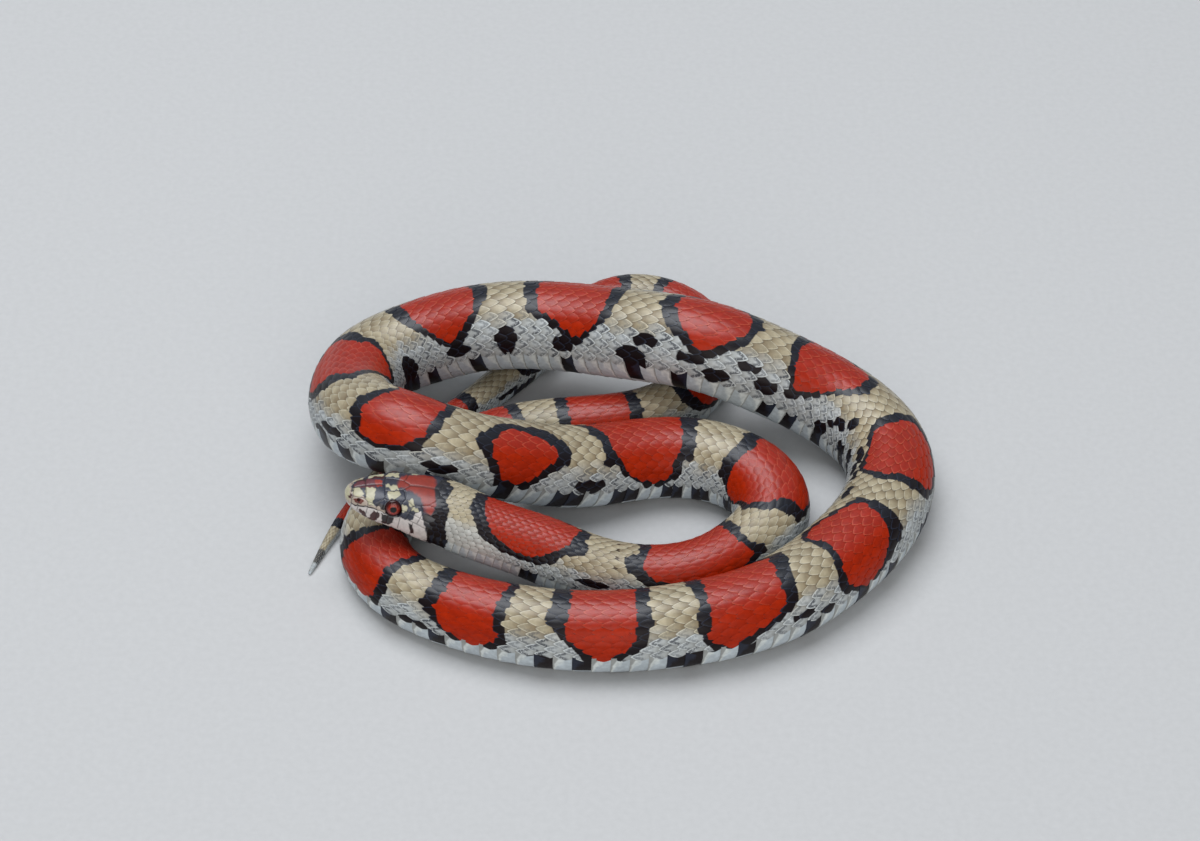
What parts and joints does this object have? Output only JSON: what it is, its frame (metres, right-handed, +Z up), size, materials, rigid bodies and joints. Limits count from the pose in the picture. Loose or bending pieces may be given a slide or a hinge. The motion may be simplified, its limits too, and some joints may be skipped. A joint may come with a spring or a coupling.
{
  "type": "milk snake model",
  "caption": "Still, life-size model of a milk snake coiled on the ground, red, black and cream bands, head resting over its own front bend.",
  "frame": {"origin": "middle of the coiled body on the floor it lies on", "axes": "+Z up from the floor; +X to the snake's tail side along the long way of the coil, so the snout points to -X; +Y to the back of the coil"},
  "size_m": [0.1008, 0.0949, 0.0243],
  "materials": {
    "skin": "smooth scales with a soft gloss, banded red, black and cream",
    "jaw": "smooth pale scales, soft gloss",
    "eye": "clear glossy spectacle over a red iris and a round black pupil"
  },
  "bodies": {
    "root": {"head": "skin", "lower_jaw": "jaw", "eye_left": "eye", "eye_right": "eye", "neck": "skin", "body_01": "skin", "body_02": "skin", "body_03": "skin", "body_04": "skin", "body_05": "skin", "body_06": "skin", "body_07": "skin", "body_08": "skin", "body_09": "skin", "body_10": "skin", "body_11": "skin", "body_12": "skin", "tail_01": "skin", "tail_02": "skin"}
  },
  "joints": []
}
